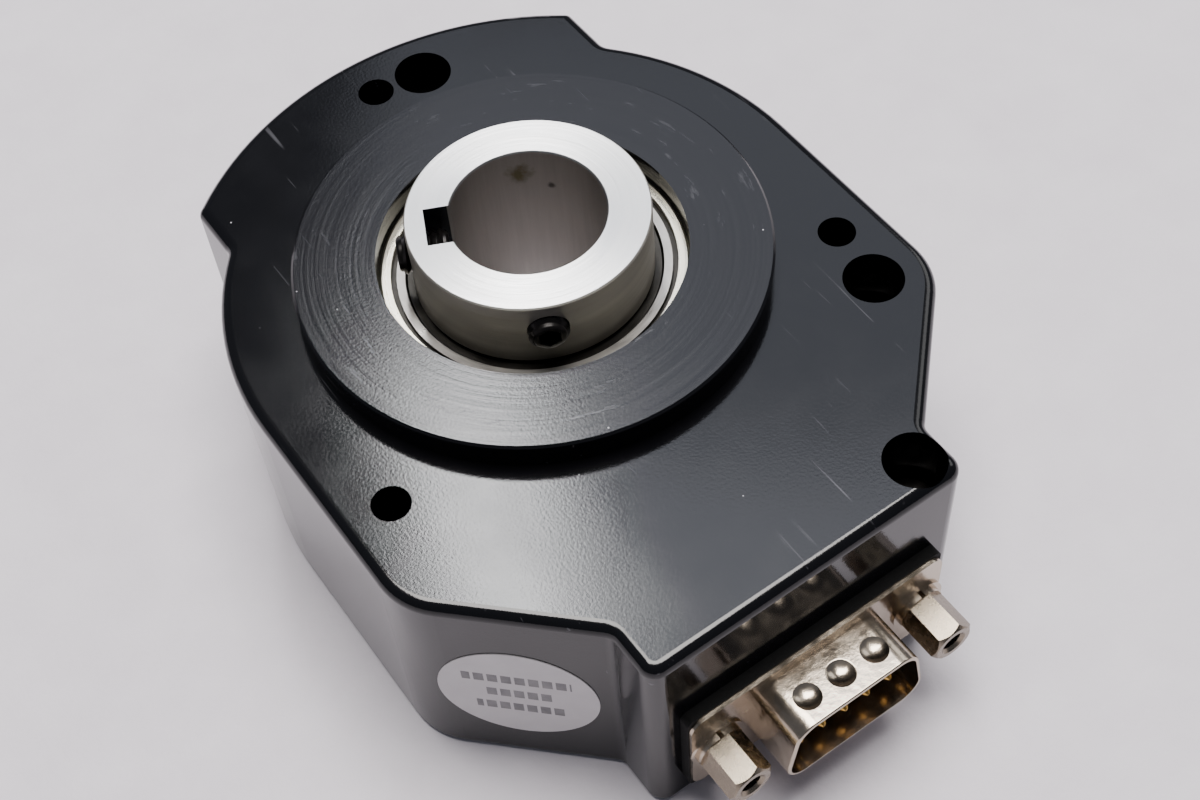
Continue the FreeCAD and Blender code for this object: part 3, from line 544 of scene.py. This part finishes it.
oxide = black_oxide()
thread = thread_tree()
set_screw_length = 0.0053
set_screw_root = 0.00173
set_screw_outer_end = 0.01345
set_screw_height = 0.0019
set_screw_rings = [(0.0006, 0.0003, 0), (0.0, 0.0012, 0), (0.0, 0.00145, 0), (0.00028, set_screw_root, 0),
                   (0.00502, set_screw_root, 0), (0.0052, 0.00166, 0), (set_screw_length, 0.00152, 0),
                   (set_screw_length, 0.00215, 6), (0.00515, 0.0020, 6), (0.0037, 0.0020, 6)]
for screw, body, degrees in (("key_set_screw", "key_screw", 154.0),
                             ("side_set_screw", "side_screw", -116.0)):
    blank = ringed_blank(screw + "_blank", set_screw_rings)
    grown(blank, thread, oxide, Root_radius=set_screw_root, Depth=0.00034, Pitch=0.0007, Start=0.00035,
          Length=0.0046)
    outward = Vector((math.cos(math.radians(degrees)), math.sin(math.radians(degrees)), 0))
    start = outward * (set_screw_outer_end - set_screw_length) + Vector((0, 0, set_screw_height))
    lie = Matrix.Translation(start) @ outward.to_track_quat("Z", "Y").to_matrix().to_4x4()
    settled(screw + "_threaded", [blank], [lie], oxide, body, "black_screw", screw)
    bpy.data.objects.remove(blank)


# ---------------------------------------------------- the disc and its optics
# A glass code disc turns with the shaft.  A small lamp shines down through its
# lines and through a slotted mask to the light sensor on the board.

def marked_glass():
    """Glass with a chrome code track: clear grey-green, ruled with fine radial lines near
    the rim.  The real lines are far finer, so they are drawn at about a millimetre."""
    material, tree, place = begin_material("chrome_ruled_glass")
    radius, angle = about_axis(tree, place)[:2]
    lines_round, track_start, track_end = 128.0, 0.0205, 0.0236
    turn = add(tree, "ShaderNodeMath", {0: angle, 1: lines_round}, operation="MULTIPLY")
    wave = add(tree, "ShaderNodeMath", {0: turn}, operation="SINE")
    line = add(tree, "ShaderNodeMath", {0: wave, 1: 0.0}, operation="GREATER_THAN")
    outer = add(tree, "ShaderNodeMath", {0: radius, 1: track_start}, operation="GREATER_THAN")
    within = add(tree, "ShaderNodeMath", {0: radius, 1: track_end}, operation="LESS_THAN")
    track = add(tree, "ShaderNodeMath", {0: outer, 1: within}, operation="MULTIPLY")
    chrome = add(tree, "ShaderNodeMath", {0: line, 1: track}, operation="MULTIPLY")
    haze = add(tree, "ShaderNodeTexNoise", {"Vector": place, "Scale": per_mm(6), "Detail": 4.0})
    clear = add(tree, "ShaderNodeMix", {"Factor": haze, "A": linear("#aebcba"), "B": linear("#c9d4d2")},
                data_type="RGBA")
    tint = add(tree, "ShaderNodeMix", {"Factor": chrome, "A": clear, "B": linear("#4a4c50")},
               data_type="RGBA")
    rough = add(tree, "ShaderNodeMapRange", {"Value": haze, "To Min": 0.03, "To Max": 0.12})
    see_through = add(tree, "ShaderNodeMapRange", {"Value": chrome, "To Min": 0.85, "To Max": 0.0})
    end_material(tree, Base_Color=tint, Metallic=chrome, Roughness=rough, IOR=1.52,
                 Transmission_Weight=see_through)
    return material


def mottled(name, low, high, size, smooth, rough, **sockets):
    """A material whose colour and polish wander together between two states, in patches of
    a size in mm."""
    material, tree, place = begin_material(name)
    patch = add(tree, "ShaderNodeTexNoise", {"Vector": place, "Scale": per_mm(size), "Detail": 5.0})
    fine = add(tree, "ShaderNodeTexNoise", {"Vector": place, "Scale": per_mm(size / 8), "Detail": 2.0})
    tint = add(tree, "ShaderNodeMix", {"Factor": patch, "A": linear(low), "B": linear(high)},
               data_type="RGBA")
    spread = add(tree, "ShaderNodeMapRange", {"Value": patch, "From Min": 0.3, "From Max": 0.7,
                                              "To Min": smooth, "To Max": rough})
    bump = add(tree, "ShaderNodeBump", {"Height": fine, "Strength": 0.12, "Distance": 0.0001})
    end_material(tree, Base_Color=tint, Roughness=spread, Normal=bump, **sockets)
    return material


dress(marked_glass(), "code_disc", "mask_plate")
# tinted epoxy: a clear dark red bead that passes only infrared
dress(mottled("red_tinted_epoxy", "#4b1014", "#6d1c1e", 1.5, 0.05, 0.14, IOR=1.54,
              Transmission_Weight=0.5), "lamp")
# moulded nylon: plain black, faintly sheened
dress(mottled("black_moulded_nylon", "#0d0d0e", "#18181a", 2.0, 0.35, 0.5, IOR=1.53), "lamp_holder")
# chip epoxy: matt charcoal with a gritty grain
chip_epoxy = mottled("charcoal_chip_epoxy", "#161617", "#232325", 0.8, 0.45, 0.6, IOR=1.55)
dress(chip_epoxy, "light_sensor", "line_driver_chip")
# tinned copper: soft silver with dull patches
dress(mottled("tinned_copper_wire", "#a9a7a2", "#cbc8c2", 0.8, 0.22, 0.42, Metallic=1.0), "lamp_leads")


# ----------------------------------------------------------- the circuit board
# A laminate board lies on three posts of the rear cover under small pan-head
# screws.  It carries the sensor, the line driver and a few small parts.

def board_laminate():
    """Green solder mask over copper: glossy, with lighter traces 1.6 mm apart that run
    straight and turn square."""
    material, tree, place = begin_material("green_solder_mask")
    weave = add(tree, "ShaderNodeTexNoise", {"Vector": place, "Scale": per_mm(3), "Detail": 4.0})
    traces = add(tree, "ShaderNodeTexBrick", {"Vector": place, "Scale": 1.0, "Mortar Size": 0.00022,
                                              "Brick Width": 0.0065, "Row Height": 0.0016,
                                              "Mortar Smooth": 0.2, "Color1": (0, 0, 0, 1),
                                              "Color2": (0, 0, 0, 1), "Mortar": (1, 1, 1, 1)})
    mask = add(tree, "ShaderNodeMix", {"Factor": weave, "A": linear("#0e3a1f"), "B": linear("#155030")},
               data_type="RGBA")
    tint = add(tree, "ShaderNodeMix", {"Factor": traces.outputs["Fac"], "A": mask, "B": linear("#2c7a48")},
               data_type="RGBA")
    rough = add(tree, "ShaderNodeMapRange", {"Value": weave, "To Min": 0.2, "To Max": 0.4})
    bump = add(tree, "ShaderNodeBump", {"Height": traces.outputs["Fac"], "Strength": 0.3,
                                        "Distance": 0.0001})
    end_material(tree, Base_Color=tint, Roughness=rough, IOR=1.5, Normal=bump)
    return material


dress(board_laminate(), "circuit_board")
# fired ceramic: grey-black and matt, speckled finely
dress(mottled("fired_ceramic", "#222224", "#37373a", 0.5, 0.5, 0.65, IOR=1.7), "board_parts")
# zinc plate: bright blue-grey steel with cloudy passivation
dress(mottled("zinc_plated_steel", "#a6a9ac", "#c6c9cc", 1.2, 0.2, 0.38, Metallic=1.0), "board_screws")


# --------------------------------------------------------------- the connector
# A nine-pin D plug looks out of the nose.  Its nickel-plated shell and black
# insulator sit on a rubber gasket, held by two hexagonal jack standoffs.

def nickel_plate():
    """Bright nickel on pressed steel: warm silver, with soft clouds, fine pits, and a grain
    of handling marks that breaks up its reflections."""
    material, tree, place = begin_material("bright_nickel_plate")
    cloud = add(tree, "ShaderNodeTexNoise", {"Vector": place, "Scale": per_mm(2.4), "Detail": 5.0,
                                             "Roughness": 0.6})
    orange_peel = add(tree, "ShaderNodeTexNoise", {"Vector": place, "Scale": per_mm(0.7), "Detail": 2.0})
    pits = add(tree, "ShaderNodeTexVoronoi", {"Vector": place, "Scale": per_mm(0.9)})
    pit = add(tree, "ShaderNodeMapRange", {"Value": pits, "From Min": 0.09, "From Max": 0.04})
    tint = add(tree, "ShaderNodeMix", {"Factor": cloud, "A": linear("#a89a88"), "B": linear("#cbbfae")},
               data_type="RGBA")
    spotted = add(tree, "ShaderNodeMix", {"Factor": pit, "A": tint, "B": linear("#5d5144")},
                  data_type="RGBA")
    rough = add(tree, "ShaderNodeMapRange", {"Value": cloud, "From Min": 0.3, "From Max": 0.7,
                                             "To Min": 0.14, "To Max": 0.28})
    bump = add(tree, "ShaderNodeBump", {"Height": orange_peel, "Strength": 0.22, "Distance": 0.0001})
    end_material(tree, Base_Color=spotted, Metallic=1.0, Roughness=rough, Normal=bump)
    return material


dress(nickel_plate(), "connector_shell", "flat_washers", "lock_washers")
# barrel-plated nickel on machined brass: duller than the shell, with a warm cast and soft dents
dress(mottled("barrel_plated_nickel", "#6f675b", "#958a7a", 0.9, 0.2, 0.32, Metallic=1.0),
      "jack_standoffs")
# gold flash over nickel: deep yellow, worn paler in patches
dress(mottled("gold_flash", "#c8923a", "#e2bd70", 0.9, 0.14, 0.28, Metallic=1.0), "connector_pins")
# insulator moulding: black thermoplastic with a brownish cast
dress(mottled("black_thermoplastic", "#0a0908", "#15110e", 1.5, 0.25, 0.4, IOR=1.57),
      "connector_insulator")


def cut_rubber():
    """Black nitrile rubber cut from sheet: matt, crumbly at its edges, and dusty in spots."""
    material, tree, place = begin_material("black_nitrile_rubber")
    crumb = add(tree, "ShaderNodeTexNoise", {"Vector": place, "Scale": per_mm(0.5), "Detail": 5.0,
                                             "Roughness": 0.7})
    dusty = add(tree, "ShaderNodeMapRange", {"Value": crumb, "From Min": 0.62, "From Max": 0.75})
    tint = add(tree, "ShaderNodeMix", {"Factor": dusty, "A": linear("#040404"), "B": linear("#161616")},
               data_type="RGBA")
    bump = add(tree, "ShaderNodeBump", {"Height": crumb, "Strength": 0.7, "Distance": 0.0002})
    end_material(tree, Base_Color=tint, Roughness=0.75, Specular_IOR_Level=0.25, Normal=bump)
    return material


dress(cut_rubber(), "connector_gasket", "housing_gasket")


# ---------------------------------------------------- the screws of the housing
# Three socket cap screws go in from the front and draw the case halves together.
# Only their knurled heads show, at the bottom of the counterbores.

def knurl_tree():
    """Straight knurling: small upright teeth stood side by side round a screw's head."""
    tree, given = begin_tree("straight_knurl", ("Radius", "Tooth", "Start", "Height", "Count"))
    circle = add(tree, "GeometryNodeMeshCircle", {"Vertices": given["Count"], "Radius": given["Radius"]})
    lift = add(tree, "ShaderNodeCombineXYZ", {"Z": given["Start"]})
    raised = add(tree, "GeometryNodeSetPosition", {"Geometry": circle, "Offset": lift})
    tooth = add(tree, "GeometryNodeMeshCylinder", {"Vertices": 4, "Radius": given["Tooth"],
                                                   "Depth": given["Height"]})
    where = add(tree, "GeometryNodeInputPosition")
    x, y = add(tree, "ShaderNodeSeparateXYZ", {0: where}).outputs[:2]
    angle = add(tree, "ShaderNodeMath", {0: y, 1: x}, operation="ARCTAN2")
    turn = add(tree, "ShaderNodeCombineXYZ", {"Z": angle})
    teeth = add(tree, "GeometryNodeInstanceOnPoints", {"Points": raised, "Instance": tooth.outputs["Mesh"],
                                                       "Rotation": turn})
    return end_tree(tree, given, teeth)


cap_root = 0.00122
head_radius = 0.00266
head_top = 0.003
cap_rings = [(-0.012, 0.0009, 0), (-0.0117, cap_root, 0), (-0.0004, cap_root, 0), (-0.0001, 0.0015, 0),
             (0.0, 0.0016, 0), (0.0, 0.0025, 0), (0.0002, head_radius, 0), (0.0026, head_radius, 0),
             (0.0029, 0.00248, 0), (head_top, 0.0023, 0), (head_top, 0.00265, 6), (0.0029, 0.0025, 6),
             (0.0015, 0.0025, 6)]
cap_screw = ringed_blank("cap_screw_blank", cap_rings, 96)
grown(cap_screw, thread, oxide, Root_radius=cap_root, Depth=0.00025, Pitch=0.0005, Start=-0.0116,
      Length=0.0110)
grown(cap_screw, knurl_tree(), oxide, Radius=head_radius, Tooth=0.00009, Start=0.00138, Height=0.0023,
      Count=72.0)
screw_seat = -0.0129
well_places = ((0.0057, 0.03055), (0.0261, -0.0226), (0.0150, -0.0417))
wells = [Matrix.Translation((x, y, screw_seat)) for x, y in well_places]
settled("housing_screws_knurled", [cap_screw] * 3, wells, oxide, "case", "black_screw", "housing_screws")
bpy.data.objects.remove(cap_screw)


# --------------------------------------------------------------------- the seal
# A round white vinyl seal stuck over the joint on the slanted wall, printed with
# three rows of plain grey bars.

def printed_vinyl():
    """White vinyl film: matt and a little grey, with three rows of short grey bars that
    read as print without being words."""
    material, tree, place = begin_material("printed_white_vinyl")
    sides = add(tree, "ShaderNodeMapping", {"Vector": place, "Rotation": (0, 0, math.radians(45))})
    apart = add(tree, "ShaderNodeSeparateXYZ", {0: sides}).outputs
    x, z = apart["X"], apart["Z"]
    row_middle, half_height, bar_pitch = 0.0049, 0.00075, 0.00135
    ink = None
    for row, (height, half_width) in enumerate(((-0.0152, 0.0054), (-0.0180, 0.0034), (-0.0208, 0.0044))):
        across = add(tree, "ShaderNodeMath", {0: x, 1: -row_middle}, operation="ADD")
        reach = add(tree, "ShaderNodeMath", {0: across}, operation="ABSOLUTE")
        wide = add(tree, "ShaderNodeMath", {0: reach, 1: half_width}, operation="LESS_THAN")
        level = add(tree, "ShaderNodeMath", {0: z, 1: height}, operation="SUBTRACT")
        off = add(tree, "ShaderNodeMath", {0: level}, operation="ABSOLUTE")
        tall = add(tree, "ShaderNodeMath", {0: off, 1: half_height}, operation="LESS_THAN")
        step = add(tree, "ShaderNodeMath", {0: across, 1: 2 * math.pi / bar_pitch, 2: 1.3 * row},
                   operation="MULTIPLY_ADD")
        wave = add(tree, "ShaderNodeMath", {0: step}, operation="SINE")
        gaps = add(tree, "ShaderNodeMath", {0: wave, 1: -0.72}, operation="GREATER_THAN")
        bar = add(tree, "ShaderNodeMath", {0: wide, 1: tall}, operation="MULTIPLY")
        bars = add(tree, "ShaderNodeMath", {0: bar, 1: gaps}, operation="MULTIPLY")
        ink = bars if ink is None else add(tree, "ShaderNodeMath", {0: ink, 1: bars}, operation="MAXIMUM")
    film = add(tree, "ShaderNodeTexNoise", {"Vector": place, "Scale": per_mm(2.5), "Detail": 5.0})
    paper = add(tree, "ShaderNodeMix", {"Factor": film, "A": linear("#bdb9ba"), "B": linear("#cfcccc")},
                data_type="RGBA")
    worn = add(tree, "ShaderNodeMapRange", {"Value": film, "From Min": 0.3, "From Max": 0.7,
                                            "To Min": 0.7, "To Max": 1.0})
    inked = add(tree, "ShaderNodeMath", {0: ink, 1: worn}, operation="MULTIPLY")
    tint = add(tree, "ShaderNodeMix", {"Factor": inked, "A": paper, "B": linear("#5b5a5c")},
               data_type="RGBA")
    bump = add(tree, "ShaderNodeBump", {"Height": film, "Strength": 0.1, "Distance": 0.0001})
    end_material(tree, Base_Color=tint, Roughness=0.45, IOR=1.5, Normal=bump)
    return material


dress(printed_vinyl(), "seal_label")
